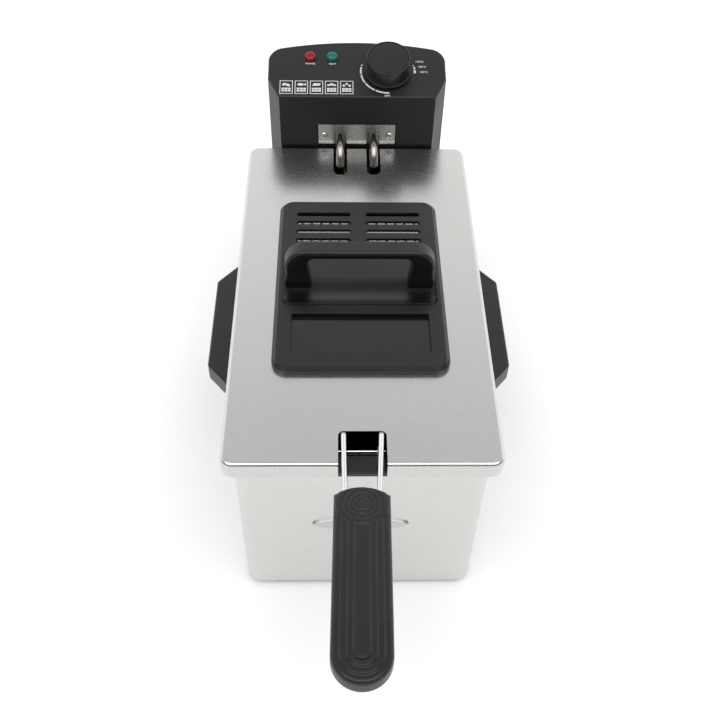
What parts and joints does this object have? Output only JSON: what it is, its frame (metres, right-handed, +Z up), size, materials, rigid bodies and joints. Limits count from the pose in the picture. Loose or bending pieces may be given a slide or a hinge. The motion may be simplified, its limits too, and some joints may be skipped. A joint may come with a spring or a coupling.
{
  "type": "deep fryer",
  "caption": "Countertop deep fryer: steel housing, lift-out oil pan, hang-on control unit with heating tube, wire basket with long handle, and lid with window, filter and arched handle.",
  "frame": {"origin": "on the table, under the middle of the whole fryer's box, basket handle included", "axes": "+X right, +Y to the rear where the control unit is, +Z up; the basket handle points towards -Y"},
  "size_m": [0.248, 0.592, 0.2683],
  "materials": {
    "housing_steel": "fine horizontal brushing",
    "lid_steel": "satin brushing front to back",
    "black_paint": "satin",
    "pan_enamel": "glossy enamel",
    "rubber_black": "matte",
    "black_plastic": "fine satin grain",
    "knob_plastic": "satin",
    "screw_steel": "zinc plated",
    "badge_steel": "satin",
    "bracket_steel": "satin",
    "element_steel": "polished stainless tube",
    "capillary_copper": "drawn copper",
    "lamp_red": "clear gloss",
    "lamp_green": "clear gloss",
    "button_red": "satin",
    "plunger_white": "satin",
    "cutout_brown": "moulded resin",
    "basket_wire": "bright plated wire",
    "window_tint": "tinted toughened glass",
    "filter_felt": "felt"
  },
  "bodies": {
    "housing": {"outer_housing": "housing_steel", "base_plate": "black_paint", "base_screws": "screw_steel", "foot_1": "rubber_black", "foot_2": "rubber_black", "foot_3": "rubber_black", "foot_4": "rubber_black", "foot_screws": "screw_steel", "side_handle_left": "black_plastic", "side_handle_right": "black_plastic", "side_handle_screws": "screw_steel", "front_badge": "badge_steel", "rear_guide": "bracket_steel", "guide_rivets": "screw_steel"},
    "oil_pan": {"oil_pan": "pan_enamel"},
    "control_unit": {"control_shell": "black_plastic", "control_cover": "black_plastic", "cover_screws": "screw_steel", "element_plate": "badge_steel", "plate_screws": "screw_steel", "heating_element": "element_steel", "element_terminals": "capillary_copper", "element_clips": "bracket_steel", "thermostat_bulb": "element_steel", "capillary": "capillary_copper", "thermostat_body": "black_plastic", "lamp_lens_red": "lamp_red", "lamp_lens_green": "lamp_green", "lamp_holders": "black_plastic", "hooks": "bracket_steel", "hook_screws": "screw_steel", "interlock_switch": "black_plastic", "thermal_cutout": "cutout_brown", "cord_gland": "black_plastic"},
    "knob": {"knob": "knob_plastic", "knob_cap": "knob_plastic", "thermostat_shaft": "screw_steel"},
    "reset_button": {"reset_button": "button_red"},
    "interlock_plunger": {"interlock_plunger": "plunger_white"},
    "basket": {"basket_mesh": "basket_wire", "basket_rim": "basket_wire", "basket_hoops": "basket_wire", "basket_runners": "basket_wire", "handle_bracket": "bracket_steel", "drain_hook": "bracket_steel", "handle_wires": "basket_wire", "grip_top": "black_plastic", "grip_bottom": "black_plastic", "grip_screws": "screw_steel"},
    "lid": {"lid_shell": "lid_steel", "lid_liner": "lid_steel", "filter_cover": "black_plastic", "window_gasket": "rubber_black", "window_glass": "window_tint", "filter_screen": "lid_steel", "filter_mat": "filter_felt", "filter_tray": "black_plastic", "lid_handle": "black_plastic", "lid_screws": "screw_steel"}
  },
  "joints": [
    {"name": "pan_lift", "type": "slide", "parent": "housing", "child": "oil_pan", "axis": [0, 0, 1], "range_m": [0, 0.14]},
    {"name": "control_lift", "type": "slide", "parent": "oil_pan", "child": "control_unit", "axis": [0, 0, 1], "range_m": [0, 0.13]},
    {"name": "basket_lift", "type": "slide", "parent": "control_unit", "child": "basket", "axis": [0, 0, 1], "range_m": [0, 0.12]},
    {"name": "lid_lift", "type": "slide", "parent": "basket", "child": "lid", "axis": [0, 0, 1], "range_m": [0, 0.1]},
    {"name": "thermostat_turn", "type": "hinge", "parent": "control_unit", "child": "knob", "pos_m": [0.028, 0.26134, 0.24577], "axis": [0, 0.2756, -0.9613], "range_deg": [0, 285]},
    {"name": "reset_press", "type": "slide", "parent": "control_unit", "child": "reset_button", "axis": [0, -1, 0], "range_m": [0, 0.0025], "stiffness_N_per_m": 400, "springref_m": -0.003},
    {"name": "interlock_press", "type": "slide", "parent": "control_unit", "child": "interlock_plunger", "axis": [0, 1, 0], "range_m": [0, 0.001], "stiffness_N_per_m": 300, "springref_m": -0.003}
  ]
}
